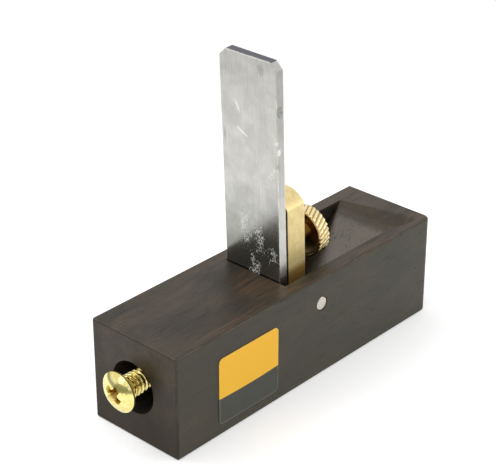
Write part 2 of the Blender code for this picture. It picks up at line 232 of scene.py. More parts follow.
def buildFlecks():  # scattered small specks of uneven size
    tree, given, mask = newGroup("flecks", "mask", vector="Vector", scale="Float", size="Float",
                                 share="Float")
    warp = stretched(tree, swirl(tree, given["vector"], given["scale"], 2.0), (0.5, 0.5, 0.5))
    bent = vectorCalc(tree, "ADD", given["vector"], warp)
    cells = addNode(tree, "ShaderNodeTexVoronoi", {"Vector": bent, "Scale": given["scale"]}).outputs
    draws = addNode(tree, "ShaderNodeSeparateColor", {"Color": cells["Color"]}).outputs
    radius = times(tree, given["size"], weighted(tree, (draws["Red"], 0.8), start=0.2))
    dot = fade(tree, cells["Distance"], radius, times(tree, radius, 0.5))
    chosen = calc(tree, "LESS_THAN", draws["Green"], given["share"])
    plug(tree, mask, times(tree, dot, chosen))
    return tree


def buildMark():  # one scratch, nick or stain at a place: a ragged ellipsoid
    tree, given, mask = newGroup("mark", "mask", vector="Vector", at="Vector", half="Vector",
                                 turn="Float", ragged="Float", core="Float")
    offset = vectorCalc(tree, "SUBTRACT", given["vector"], given["at"])
    level = addNode(tree, "ShaderNodeVectorRotate", {"Vector": offset, "Angle": given["turn"]},
                    rotation_type="X_AXIS").outputs[0]
    distance = length(tree, vectorCalc(tree, "DIVIDE", level, given["half"]))
    rough = calc(tree, "SUBTRACT", noise(tree, given["vector"], 2.2, 4.0, 0.65), 0.5)
    reach = calc(tree, "ADD", distance, times(tree, rough, given["ragged"]))
    plug(tree, mask, fade(tree, reach, 1.0, given["core"]))
    return tree


edgeWear = buildEdgeWear()
brushing = buildBrushing()
mottle = buildMottle()
flecks = buildFlecks()
mark = buildMark()
print("shared effects ready")


# Studio

studio = {
    "lens": 120.28,
    "sensor": 36.0,
    "cameraPlace": (-0.2847, -0.2560, 0.2441),
    "cameraTilt": 61.90,       # degrees from straight down
    "cameraHeading": -47.49,
    "sky": 0.86,               # strength of the light from all round
    "horizonTone": 0.35,       # what polished metal sees between the floor and the light
    "horizonMiddle": -0.06,
    "horizonHalf": 0.11,
    "floorRadius": 0.17,
    "floorDrop": 0.05,         # millimetres under the sole
    "floorTone": 0.88,
    "floorLift": 0.33,         # brings the lit floor up to white
    "lamps": {
        "overheadLight": {"place": (-0.24, 0.52, 0.76), "size": 0.60, "power": 2.3},
        "nearLight": {"place": (0.62, -0.70, 0.34), "size": 0.60, "power": 1.5},
        "heelLight": {"place": (-0.85, 0.20, 0.42), "size": 0.32, "power": 0.35},
    },
}


def buildCamera():
    data = bpy.data.cameras.new("camera")
    data.lens = studio["lens"]
    data.sensor_width = studio["sensor"]
    data.clip_start = 0.01
    camera = addObject("camera", data)
    camera.location = studio["cameraPlace"]
    camera.rotation_euler = (math.radians(studio["cameraTilt"]), 0, math.radians(studio["cameraHeading"]))
    scene.camera = camera


def mirrored(tree):  # rays that come by way of metal or glass
    path = addNode(tree, "ShaderNodeLightPath").outputs
    return calc(tree, "MAXIMUM", path["Is Glossy Ray"], path["Is Transmission Ray"])


def seenDirectly(tree):
    path = addNode(tree, "ShaderNodeLightPath").outputs
    return calc(tree, "MAXIMUM", path["Is Camera Ray"], mirrored(tree))


def buildWorld():
    scene.world = bpy.data.worlds.new("softStudio")
    scene.world.use_nodes = True
    tree = scene.world.node_tree
    tree.nodes.clear()
    direction = addNode(tree, "ShaderNodeTexCoord").outputs["Generated"]
    height = split(tree, direction)["Z"]
    away = calc(tree, "ABSOLUTE", calc(tree, "SUBTRACT", height, studio["horizonMiddle"]))
    half = studio["horizonHalf"]
    dimming = fade(tree, away, half * 0.6, half * 1.6, studio["horizonTone"] - 1.0, 0.0)
    strength = weighted(tree, (mirrored(tree), dimming), start=1.0)
    sky = addNode(tree, "ShaderNodeBackground", {"Color": (1, 1, 1, 1), "Strength": studio["sky"]})
    backdrop = addNode(tree, "ShaderNodeBackground", {"Color": (1, 1, 1, 1), "Strength": strength})
    shares = {0: seenDirectly(tree), 1: sky.outputs[0], 2: backdrop.outputs[0]}
    mix = addNode(tree, "ShaderNodeMixShader", shares)
    addNode(tree, "ShaderNodeOutputWorld", {"Surface": mix.outputs[0]})


def buildFloor():
    shape = bmesh.new()
    bmesh.ops.create_circle(shape, cap_ends=True, segments=64, radius=studio["floorRadius"])
    bmesh.ops.translate(shape, verts=shape.verts, vec=(0, 0, -studio["floorDrop"] * mm))
    mesh = bpy.data.meshes.new("floor")
    shape.to_mesh(mesh)
    shape.free()
    material, tree = newMaterial("paleFloor")
    tone = studio["floorTone"]
    fill(tree, {"Base Color": (tone, tone, tone, 1), "Roughness": 0.8, "Specular IOR Level": 0.2,
                "Emission Color": (1, 1, 1, 1),
                "Emission Strength": times(tree, seenDirectly(tree), studio["floorLift"])})
    mesh.materials.append(material)
    addObject("floor", mesh)


def buildLamps():
    for name, spec in studio["lamps"].items():
        data = bpy.data.lights.new(name, "AREA")
        data.shape = "DISK"
        data.size = spec["size"]
        data.energy = spec["power"]
        lamp = addObject(name, data)
        lamp.location = spec["place"]
        lamp.rotation_euler = (-Vector(spec["place"])).to_track_quat("-Z", "Y").to_euler()


scene.view_settings.view_transform = "Standard"
buildCamera()
buildWorld()
buildFloor()
buildLamps()
print("studio ready")


# Finishes

def rgb(red, green, blue):
    return (red, green, blue, 1.0)


def markMask(tree, spot, marks, ragged, core=0.6):  # all marks of one kind; core is the share that is full
    whole = 0.0
    for spec in marks:
        one = effect(tree, mark, vector=spot, at=spec["at"], half=spec["half"],
                     turn=math.radians(spec.get("turn", 0)), ragged=spec.get("ragged", ragged), core=core)
        whole = calc(tree, "MAXIMUM", whole, one)
    return whole


ebonyLook = {
    "dark": rgb(0.007, 0.005, 0.0021),
    "light": rgb(0.041, 0.028, 0.0128),
    "warm": rgb(0.082, 0.038, 0.016),
    "nearSideSheen": rgb(0.0245, 0.0255, 0.0145),  # painted sheen: the near side greyer, for the pale floor it shows
    "lowerHeel": rgb(0.0125, 0.0068, 0.0024),   # darker and browner towards the foot of the heel end
    "throatShade": rgb(0.0025, 0.002, 0.001),      # painted shade: near black on the throat's walls
    "pore": rgb(0.005, 0.004, 0.0025),
    # lighter edges: partly real wear, partly a painted highlight along them
    "wearAndHighlight": rgb(0.110, 0.085, 0.058),
    "dust": rgb(0.36, 0.33, 0.29),
    "warmShare": 0.75,
    "nearSideSheenShare": 0.82,
    "lowerHeelShare": 0.8,
    "poreShare": 0.8,
    "wearAndHighlightShare": 0.4,
    "dustShare": 0.8,
    "rough": 0.46,
    "shine": 0.45,
    "sheen": rgb(1.0, 0.94, 0.84),
    "swayStretch": (0.03, 0.06, 0.06),
    "cloudStretch": (0.05, 0.14, 0.14),
    "grainStretch": (0.040, 2.0, 2.0),
    "streakStretch": (0.045, 1.2, 1.2),
    "poreStretch": (0.15, 3.4, 3.4),
    "sandingStretch": (0.35, 6.0, 6.0),
    "wearWidth": 0.32,
    # zones and warm streaks, in millimetres from the heel end, across and up from the sole
    "lowerHeelHeights": (27.0, 4.0),    # none, and full
    "throatShadeHeights": (21.0, 9.0),
    "rampStart": (52.0, 54.0),     # the ramp is rubbed smoother
    "rampEnd": (97.0, 93.0),
    "warmStreaks": [
        {"at": (72.0, -13.5, 29.7), "half": (30.0, 1.7, 2.2)},
        {"at": (30.0, -13.0, 29.7), "half": (24.0, 1.6, 1.6)},
        {"at": (42.0, -5.0, 29.7), "half": (9.0, 9.0, 1.2)},
        {"at": (98.0, -12.2, 29.4), "half": (5.0, 3.2, 1.8)},
        {"at": (86.0, -9.0, 28.5), "half": (7.0, 2.6, 2.6)},
    ],
}


def ebonyMaterial():
    look = ebonyLook
    material, tree = newMaterial("ebony")
    spot = pieceCoords(tree, bodyFrame)
    low, high = [(bodyFrame.inverted() @ corner) / mm for corner in (bodyLow, bodyHigh)]
    x, y, z = split(tree, spot)
    sway = noise(tree, stretched(tree, spot, look["swayStretch"]), 1.0, 2.0)
    bent = vectorCalc(tree, "ADD", spot, combined(tree, Y=times(tree, sway, 7.0), Z=times(tree, sway, 5.0)))
    grain = effect(tree, brushing, vector=bent, stretch=look["grainStretch"])
    cloud = effect(tree, mottle, vector=stretched(tree, bent, look["cloudStretch"]), scale=1.0, hardness=0.4)
    pores = fade(tree, noise(tree, stretched(tree, bent, look["poreStretch"]), 1.0, 2.0), 0.61, 0.70)
    streaks = fade(tree, noise(tree, stretched(tree, bent, look["streakStretch"]), 1.0, 3.0, 0.6), 0.42, 0.64)

    # zones: the near side, the foot of the heel end, the throat's walls, with painted shade, and the ramp
    wall = bodyShape["throatHalf"]
    aside = calc(tree, "ABSOLUTE", y)
    offCheek = calc(tree, "ABSOLUTE", calc(tree, "SUBTRACT", y, wall))
    nearSide = fade(tree, y, low.y + 0.7, low.y + 0.1)
    heelFoot = times(tree, fade(tree, x, 0.8, 0.1), fade(tree, z, *look["lowerHeelHeights"]))
    # painted shade: the throat's walls near black, low down on both cheeks and over the far cheek, and
    # rougher
    throat = times(tree, fade(tree, aside, wall + 0.1, wall - 0.1), fade(tree, z, *look["throatShadeHeights"]))
    farCheek = times(tree, fade(tree, offCheek, 0.2, 0.05), fade(tree, z, high.z - 0.3, high.z - 0.9))
    throatShade = times(tree, calc(tree, "MAXIMUM", throat, farCheek), fade(tree, x, 0.4, 1.0),
                fade(tree, x, high.x - 0.4, high.x - 1.0), fade(tree, z, 0.2, 0.6))
    ramp = times(tree, fade(tree, aside, wall - 0.1, wall - 0.3), fade(tree, x, *look["rampStart"]),
                 fade(tree, x, *look["rampEnd"]), fade(tree, z, high.z - 0.1, high.z - 1.1))

    tone = fade(tree, weighted(tree, (grain, 0.6), (cloud, 0.4)), 0.28, 0.72)
    colour = mixColour(tree, tone, look["dark"], look["light"])
    colour = mixColour(tree, throatShade, colour, look["throatShade"])
    # painted sheen: the near side greyer; warm streaks and pores are fainter there too
    nearSideSheen = times(tree, nearSide, weighted(tree, (cloud, -0.40), start=look["nearSideSheenShare"]))
    colour = mixColour(tree, nearSideSheen, colour, look["nearSideSheen"])
    warmth = weighted(tree, (markMask(tree, spot, look["warmStreaks"], 1.1), look["warmShare"]), start=0.14)
    warmth = times(tree, warmth, weighted(tree, (nearSide, -0.8), start=1.0), streaks)
    colour = mixColour(tree, warmth, colour, look["warm"])
    colour = layer(tree, colour, heelFoot, look, "lowerHeel")
    porous = times(tree, pores, weighted(tree, (nearSide, -0.65), start=look["poreShare"]))
    colour = mixColour(tree, porous, colour, look["pore"])
    # lighter edges: partly wear, partly a painted highlight
    wear = effect(tree, edgeWear, vector=spot, low=low, high=high, width=look["wearWidth"], patch=0.16)
    colour = layer(tree, colour, wear, look, "wearAndHighlight")
    dust = effect(tree, flecks, vector=spot, scale=0.42, size=0.065, share=0.4)
    colour = layer(tree, colour, dust, look, "dust")

    rough = weighted(tree, (tone, -0.06), (pores, 0.2), (dust, 0.25), (heelFoot, 0.2), (throatShade, 0.4),
                     (ramp, -0.2), start=look["rough"])
    sanding = effect(tree, brushing, vector=spot, stretch=look["sandingStretch"])
    relief = weighted(tree, (sanding, 0.4), (porous, -1.2))
    fill(tree, {"Base Color": colour, "Roughness": rough, "Specular IOR Level": look["shine"],
                "Specular Tint": look["sheen"], "Normal": bumped(tree, relief, 0.025, 0.45)})
    return material


ironLook = {
    "dark": rgb(0.425, 0.42, 0.395),
    "light": rgb(0.580, 0.575, 0.540),
    "fleck": rgb(0.86, 0.855, 0.83),
    "stain": rgb(0.25, 0.245, 0.225),
    "film": rgb(0.14, 0.152, 0.132),     # painted reflection of the dark wood, darker towards the bed; also darkens the dimple
    "scale": rgb(0.060, 0.060, 0.085),   # blue scale left on the top end
    "burnished": rgb(0.78, 0.77, 0.75),
    "stainShare": 0.55,
    "pitShare": 0.25,
    "sawnShare": 0.35,                   # the near edge is duller towards its top
    "filmShare": 0.75,
    "pockShare": 0.4,
    "burnishedShare": 0.7,
    "scaleShare": 0.93,
    "rough": 0.20,
    "brush": (2.6, 2.6, 0.05),
    "fleckDrift": (0.0, 8.0, 16.0),      # how far the clouds wander from their ellipses
    # millimetres from the back face, across and up from the cross pin, with a turn in degrees
    "sawnHeights": (25.0, 60.0),         # none, and full
    "bedReflectionHeights": (40.0, 10.0),
    "scratches": [
        {"at": (0, 4.7, 55.4), "half": (0.6, 0.38, 1.9), "turn": 24},
        {"at": (0, 3.4, 48.6), "half": (0.6, 2.4, 0.45), "turn": -28},
        {"at": (0, -8.3, 48.6), "half": (0.8, 0.7, 0.5), "ragged": 2.4},
        {"at": (0.6, -8.6, 46.1), "half": (0.8, 0.55, 1.1), "ragged": 2.4},
    ],
    "fleckClouds": [
        {"at": (0, 3.6, 21.5), "half": (2.0, 3.4, 9.0)},
        {"at": (0, -1.2, 19.0), "half": (2.0, 2.6, 8.5), "turn": 8},
        {"at": (0, 0.6, 10.5), "half": (2.0, 2.6, 5.0)},
        {"at": (0, -5.6, 15.5), "half": (2.0, 3.4, 1.8), "turn": -14},
        {"at": (0, -6.6, 39.0), "half": (2.0, 2.2, 3.0)},
    ],
    "stains": [
        {"at": (0, -3.6, 67.4), "half": (0.8, 1.8, 2.2), "turn": 10},
        {"at": (0.2, -8.6, 42.0), "half": (0.8, 0.7, 3.0)},
        {"at": (0, 9.4, 46.0), "half": (0.8, 0.5, 2.4)},
    ],
    "pock": [{"at": (1.2, -8.6, 57.0), "half": (1.2, 0.8, 1.9)}],
}


def ironMaterial():
    look = ironLook
    material, tree = newMaterial("groundSteel")
    back = localBox("plane_iron", ironFrame)[0].x
    place = ironFrame @ Matrix.Translation((back * mm, 0, 0))
    low, high = localBox("plane_iron", place)
    spot = pieceCoords(tree, place)
    x, y, z = split(tree, spot)

    lines = effect(tree, brushing, vector=spot, stretch=look["brush"])
    cloud = effect(tree, mottle, vector=spot, scale=0.16, hardness=0.35)
    tone = fade(tree, weighted(tree, (lines, 0.65), (cloud, 0.35)), 0.25, 0.75)
    colour = mixColour(tree, tone, look["dark"], look["light"])
    pits = effect(tree, flecks, vector=spot, scale=0.9, size=0.22, share=0.35)
    sawn = times(tree, fade(tree, y, low.y + 0.30, low.y + 0.10), fade(tree, z, *look["sawnHeights"]))
    stain = times(tree, markMask(tree, spot, look["stains"], 2.2, 0.1), look["stainShare"])
    for patch, share in ((pits, look["pitShare"]), (sawn, look["sawnShare"])):
        stain = calc(tree, "MAXIMUM", stain, times(tree, patch, share))
    colour = mixColour(tree, stain, colour, look["stain"])
    # painted reflection: the face darker and smoother towards the bed, where it shows the dark wood
    film = fade(tree, weighted(tree, (z, 1.0), (cloud, 5.0)), *look["bedReflectionHeights"])
    film = times(tree, film, fade(tree, y, low.y + 0.1, low.y + 0.6))
    colour = layer(tree, colour, film, look, "film")
    grit = noise(tree, stretched(tree, spot, (1.0, 1.0, 0.5)), 2.9, 4.0, 0.75)
    wander = vectorCalc(tree, "SUBTRACT", swirl(tree, spot, 0.3, 3.0), (0.5, 0.5, 0.5))
    drifted = vectorCalc(tree, "ADD", spot, stretched(tree, wander, look["fleckDrift"]))
    clouded = markMask(tree, drifted, look["fleckClouds"], 1.6, 0.0)
    specks = fade(tree, weighted(tree, (grit, 1.0), (clouded, 0.19)), 0.66, 0.72)
    bright = calc(tree, "MAXIMUM", markMask(tree, spot, look["scratches"], 1.2), specks)
    colour = mixColour(tree, bright, colour, look["fleck"])
    wear = effect(tree, edgeWear, vector=spot, low=low, high=high, width=0.16, patch=0.5)
    colour = layer(tree, colour, wear, look, "burnished")
    pock = times(tree, markMask(tree, spot, look["pock"], 0.6), look["pockShare"])
    colour = mixColour(tree, pock, colour, look["film"])
    rubbed = weighted(tree, (x, 1.0), (cloud, 0.7))
    scale = times(tree, fade(tree, z, high.z - 0.20, high.z - 0.06), fade(tree, rubbed, 0.45, 1.0))
    colour = layer(tree, colour, scale, look, "scale")
    rough = weighted(tree, (lines, 0.14), (calc(tree, "MAXIMUM", bright, stain), 0.2), (film, -0.08),
                     (pock, 0.3), start=look["rough"])
    relief = weighted(tree, (lines, 0.35), (bright, -0.3), (pits, -1.0))
    fill(tree, {"Base Color": colour, "Roughness": rough, "Normal": bumped(tree, relief, 0.02, 0.35),
                "Metallic": fade(tree, bright, 0.0, 1.0, 1.0, 0.15)})
    return material


brassLook = {
    "cap": {"dark": rgb(0.755, 0.585, 0.24), "light": rgb(0.91, 0.745, 0.36), "rough": 0.34, "metallic": 0.40,
            "grainScale": 2.6},
    "thumb": {"dark": rgb(0.84, 0.68, 0.32), "light": rgb(0.97, 0.87, 0.56), "rough": 0.13, "metallic": 1.0,
              "grainScale": 1.2},
    "heel": {"dark": rgb(0.77, 0.66, 0.215), "light": rgb(0.96, 0.87, 0.40), "rough": 0.10, "metallic": 1.0,
             "grainScale": 0.9},
    "insert": {"dark": rgb(0.50, 0.34, 0.11), "light": rgb(0.70, 0.50, 0.19), "rough": 0.24, "metallic": 1.0,
               "grainScale": 1.2},
    "dull": rgb(0.38, 0.24, 0.08),
    # painted reflection: a darker olive band across the heel screw's dome
    "tarnish": rgb(0.30, 0.27, 0.085),
    "oxide": rgb(0.36, 0.195, 0.04),      # painted shade: brown in the hollows, the grooves and at the cap's foot
    # painted shade: near black, in the gap behind the lever cap and low in the thumb screw's bowl
    "grime": rgb(0.03, 0.018, 0.008),
    "burnished": rgb(0.93, 0.80, 0.50),
    "dullShare": 0.35,
    "burnishedShare": 0.6,
    "grooveShadeShare": 0.7,
    "paintedDarkShare": 0.93,
}


def brassMaterial(kind, place, stretch, wornNode=None, grooves=None, **paintedDarks):
    look = brassLook[kind]
    material, tree = newMaterial(kind + "Brass")
    spot = pieceCoords(tree, place)
    speckle = noise(tree, spot, look["grainScale"], 4.0, 0.7)
    lines = effect(tree, brushing, vector=spot, stretch=stretch)
    cloud = effect(tree, mottle, vector=spot, scale=0.45, hardness=0.5)
    tone = fade(tree, weighted(tree, (speckle, 0.45), (lines, 0.3), (cloud, 0.25)), 0.3, 0.7)
    colour = mixColour(tree, tone, look["dark"], look["light"])
    dull = effect(tree, flecks, vector=spot, scale=1.1, size=0.16, share=0.3)
    colour = layer(tree, colour, dull, brassLook, "dull")
    if wornNode:
        low, high = localBox(wornNode, place)
        wear = effect(tree, edgeWear, vector=spot, low=low, high=high, width=0.22, patch=0.6)
        colour = layer(tree, colour, wear, brassLook, "burnished")
    if grooves:
        # painted shade: the roots of the grooves darker brown
        fromAxis = length(tree, stretched(tree, spot, (1, 1, 0)))
        start = grooves["start"]
        grooveShade = times(tree, fade(tree, fromAxis, grooves["crest"], grooves["root"]),
                     fade(tree, split(tree, spot)["Z"], start, start + 0.2, 0.0, brassLook["grooveShadeShare"]))
        colour = mixColour(tree, grooveShade, colour, brassLook["oxide"])
    # painted shade and a painted reflection, each laid as marks
    for paintedDark, marks in paintedDarks.items():
        mask = times(tree, markMask(tree, spot, marks, 0.9), brassLook["paintedDarkShare"])
        colour = mixColour(tree, mask, colour, brassLook[paintedDark])
        dull = calc(tree, "MAXIMUM", dull, mask)
    rough = weighted(tree, (speckle, 0.12), (dull, 0.2), start=look["rough"])
    relief = weighted(tree, (lines, 0.6), (speckle, 0.4))
    fill(tree, {"Base Color": colour, "Roughness": rough, "Metallic": look["metallic"],
                "Normal": bumped(tree, relief, 0.012, 0.4)})
    return material


pinLook = {
    "dark": rgb(0.46, 0.43, 0.365),
    "light": rgb(0.67, 0.625, 0.54),
    "rough": 0.25,
    "crown": 0.02,  # how far the end falls by half its radius
    "endRound": [(0.07, 0.28), (0.16, 0.12), (0.32, 0)],  # from the end, and inside the radius
}


def pinMaterial(place):
    look = pinLook
    material, tree = newMaterial("pinSteel")
    spot = pieceCoords(tree, place)
    fromAxis = length(tree, stretched(tree, spot, (1, 0, 1)))
    rings = noise(tree, combined(tree, X=fromAxis), 5.0, 3.0)
    speckle = noise(tree, spot, 2.4, 4.0, 0.7)
    tone = fade(tree, weighted(tree, (rings, 0.4), (speckle, 0.6)), 0.3, 0.7)
    colour = mixColour(tree, tone, look["dark"], look["light"])
    rough = weighted(tree, (speckle, 0.2), start=look["rough"])
    fill(tree, {"Base Color": colour, "Roughness": rough, "Metallic": 1.0,
                "Normal": bumped(tree, rings, 0.01, 0.4)})
    return material


labelLook = {
    "film": rgb(0.90, 0.49, 0.030),
    "faded": rgb(0.80, 0.40, 0.020),
    "filmEdge": rgb(0.92, 0.60, 0.14),
    "band": rgb(0.056, 0.058, 0.046),
    "bandShade": rgb(0.043, 0.044, 0.035),
    "outline": rgb(0.22, 0.21, 0.17),
    "rough": 0.45,
    "bandTop": 7.45,       # millimetres above the label's lower edge, at its middle
    "bandCurve": 0.30,     # higher at both ends
    "outlineWidth": 0.17,
    "corner": 1.4,
    "edgeRound": 0.05,
}


def labelMaterial(place, half):
    look = labelLook
    material, tree = newMaterial("labelFilm")
    spot = pieceCoords(tree, place)
    coords = split(tree, spot)
    x, z = coords["X"], coords["Z"]
    overX = calc(tree, "SUBTRACT", calc(tree, "ABSOLUTE", x), half.x - look["corner"])
    overZ = calc(tree, "SUBTRACT", calc(tree, "ABSOLUTE", z), half.z - look["corner"])
    outer = combined(tree, X=calc(tree, "MAXIMUM", overX, 0.0), Z=calc(tree, "MAXIMUM", overZ, 0.0))
    inner = calc(tree, "MINIMUM", calc(tree, "MAXIMUM", overX, overZ), 0.0)
    edge = calc(tree, "SUBTRACT", calc(tree, "ADD", length(tree, outer), inner), look["corner"])
    rim = fade(tree, edge, -look["outlineWidth"] - 0.05, -look["outlineWidth"] + 0.05)
    fromMiddle = calc(tree, "DIVIDE", x, half.x)
    curve = times(tree, fromMiddle, fromMiddle, look["bandCurve"])
    overBand = calc(tree, "SUBTRACT", calc(tree, "SUBTRACT", z, look["bandTop"] - half.z), curve)
    band = fade(tree, overBand, 0.08, -0.08)
    ink = noise(tree, spot, 3.0, 4.0, 0.6)
    film = mixColour(tree, times(tree, ink, 0.25), look["film"], look["faded"])
    film = mixColour(tree, times(tree, rim, 0.6), film, look["filmEdge"])
    dark = mixColour(tree, ink, look["band"], look["bandShade"])
    dark = mixColour(tree, times(tree, rim, 0.75), dark, look["outline"])
    cloud = effect(tree, mottle, vector=spot, scale=0.25, hardness=0.4)
    rough = weighted(tree, (cloud, 0.1), start=look["rough"])
    colour = mixColour(tree, band, film, dark)
    fill(tree, {"Base Color": colour, "Roughness": rough, "Specular IOR Level": 0.3,
                "Normal": bumped(tree, noise(tree, spot, 1.4, 3.0), 0.02, 0.3)})
    return material


# Mesh helpers

def closed(shape, ends):  # faces over two outlines and between them
    for end in ends:
        shape.faces.new(end)
    for k in range(len(ends[0])):
        j = (k + 1) % len(ends[0])
        shape.faces.new((ends[0][k], ends[0][j], ends[1][j], ends[1][k]))
    return shape


def prism(outline, low, high, across):  # outline in the two other axes, in alphabetical order
    shape = bmesh.new()

    def corner(a, b, depth):
        values = [a, b]
        values.insert("xyz".index(across), depth)
        return shape.verts.new(values)

    return closed(shape, [[corner(a, b, depth) for a, b in outline] for depth in (low, high)])


def turned(rings, sides):  # rings about Z: z, radius and, if any, cut and twist; radius 0 closes an end
    shape = bmesh.new()
    cutDepth = shape.verts.layers.float.new("cutDepth")
    loops = []
    for z, radius, *more in rings:
        cut, twist = (more + [0.0, 0.0])[:2]
        count = sides if radius > 0 else 1
        angles = [2 * math.pi * k / sides + twist for k in range(count)]
        loop = [shape.verts.new((radius * math.cos(t), radius * math.sin(t), z)) for t in angles]
        for vert in loop:
            vert[cutDepth] = cut
        loops.append(loop)
    for first, second in zip(loops, loops[1:]):
        for k in range(sides):
            j = k + 1
            corners = (first[k % len(first)], first[j % len(first)],
                       second[j % len(second)], second[k % len(second)])
            shape.faces.new(dict.fromkeys(corners))
    return shape


def cylinder(radius, start, end, sides):
    return turned([(start, 0), (start, radius), (end, radius), (end, 0)], sides)


def newPiece(name, shape):
    bmesh.ops.recalc_face_normals(shape, faces=shape.faces)
    mesh = bpy.data.meshes.new(name)
    shape.to_mesh(mesh)
    shape.free()
    mesh.shade_smooth()
    return addObject(name, mesh)


def bevel(piece, width, segments, angle):
    step = piece.modifiers.new("bevel", "BEVEL")
    step.width = width
    step.segments = segments
    step.limit_method = "ANGLE"
    step.angle_limit = math.radians(angle)


def cut(piece, shape, place=Matrix()):
    shape.transform(place)
    step = piece.modifiers.new("cut", "BOOLEAN")
    step.operation = "DIFFERENCE"
    step.object = newPiece("cutter", shape)


def evenNormals(piece):  # keeps flat faces flat beside their rounded edges
    step = piece.modifiers.new("evenNormals", "WEIGHTED_NORMAL")
    step.weight = 80
    step.keep_sharp = True


def plainMesh(piece):  # leaves the evaluated mesh in place of the modifiers and their cutters
    bpy.context.view_layer.update()
    graph = bpy.context.evaluated_depsgraph_get()
    source = piece.evaluated_get(graph)
    mesh = bpy.data.meshes.new_from_object(source, preserve_all_data_layers=True, depsgraph=graph)
    cutters = [step.object for step in piece.modifiers if step.type == "BOOLEAN"]
    piece.modifiers.clear()
    piece.data = mesh
    for cutter in cutters:
        bpy.data.objects.remove(cutter)


def setInFrame(piece, place, material, body, node):
    plainMesh(piece)
    piece.data.transform(place @ Matrix.Scale(mm, 4))
    piece.data.materials.clear()
    piece.data.materials.append(material)
    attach(piece, body)
    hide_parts(node)
    print(piece.name, len(piece.data.polygons), "faces")


def buildHelixCut():  # sinks right-hand and left-hand helical grooves into a turned blank
    tree, given, cutPiece = newGroup("helixCut", "cutPiece", "Geometry", blank="Geometry", starts="Int",
                                     lead="Float", rightDepth="Float", leftDepth="Float", crest="Float",
                                     finish="Material")
    x, y, z = split(tree, addNode(tree, "GeometryNodeInputPosition").outputs[0])
    turns = calc(tree, "DIVIDE", calc(tree, "ARCTAN2", y, x), 2 * math.pi)
    around = times(tree, turns, given["starts"])
    along = calc(tree, "DIVIDE", z, given["lead"])

    def groove(phase, depth):
        wave = times(tree, calc(tree, "PINGPONG", phase, 0.5), 2.0)
        limits = {"Value": wave, "From Min": given["crest"], "From Max": 0.95}  # narrow flat root
        return times(tree, addNode(tree, "ShaderNodeMapRange", limits).outputs[0], depth)

    sink = calc(tree, "MAXIMUM", groove(calc(tree, "SUBTRACT", along, around), given["rightDepth"]),
                groove(calc(tree, "ADD", along, around), given["leftDepth"]))
    share = addNode(tree, "GeometryNodeInputNamedAttribute", {"Name": "cutDepth"}, data_type="FLOAT")
    outward = vectorCalc(tree, "NORMALIZE", combined(tree, X=x, Y=y))
    inputs = {0: outward, "Scale": times(tree, sink, share.outputs[0], -1.0)}
    inward = addNode(tree, "ShaderNodeVectorMath", inputs, operation="SCALE")
    step = given["blank"]
    for kind, inputs in (("SetPosition", {"Offset": inward.outputs[0]}), ("RealizeInstances", {}),
                         ("SetMaterial", {"Material": given["finish"]})):
        step = addNode(tree, "GeometryNode" + kind, {"Geometry": step, **inputs}).outputs[0]
    plug(tree, cutPiece, step)
    return tree


def cutHelix(piece, **values):
    step = piece.modifiers.new("helixCut", "NODES")
    step.node_group = helixCut
    for item in helixCut.interface.items_tree:
        if item.in_out == "INPUT" and item.name in values:
            step[item.identifier] = values[item.name]
    plainMesh(piece)


def roundAcross(piece, x, z, width, segments):  # rounds the edge that crosses the piece at x, z
    shape = bmesh.new()
    shape.from_mesh(piece.data)
    edges = [e for e in shape.edges if all(abs(v.co.x - x) + abs(v.co.z - z) < 0.01 for v in e.verts)]
    bmesh.ops.bevel(shape, geom=edges, offset=width, segments=segments, profile=0.5, affect="EDGES")
    shape.to_mesh(piece.data)
    shape.free()


def joinInto(piece, other):
    shape = bmesh.new()
    for part in (piece, other):
        shape.from_mesh(part.data)
    bmesh.ops.remove_doubles(shape, verts=shape.verts, dist=1e-5)
    shape.to_mesh(piece.data)
    shape.free()
    bpy.data.objects.remove(other)


helixCut = buildHelixCut()
overcut = 2.0  # cutters start this far outside a piece
zAcross = Matrix.Rotation(math.pi / 2, 4, "X")  # lays a turned shape across the plane
zAlong = Matrix.Rotation(math.pi / 2, 4, "Y")


# Pieces

bodyShape = {
    "edgeRound": 0.6,
    "toeCorner": 2.4,
    "cutRound": 0.16,
    "rampBlend": 6.0,      # the ramp runs softly into the toe's flat top
    "bedFromHeel": 45.9,   # on the sole
    "mouthFront": 50.6,    # from the heel end
    "mouthLip": 2.0,
    "toeLand": 9.4,
    "throatHalf": 10.6,
    "pinBore": 2.08,
    "counterbore": 7.3,
    "counterboreDepth": 14.0,
    "counterboreDrop": 1.0,
    "insertBore": 5.0,
    "insertEnd": 27.3,
    "pointBore": 3.5,
}


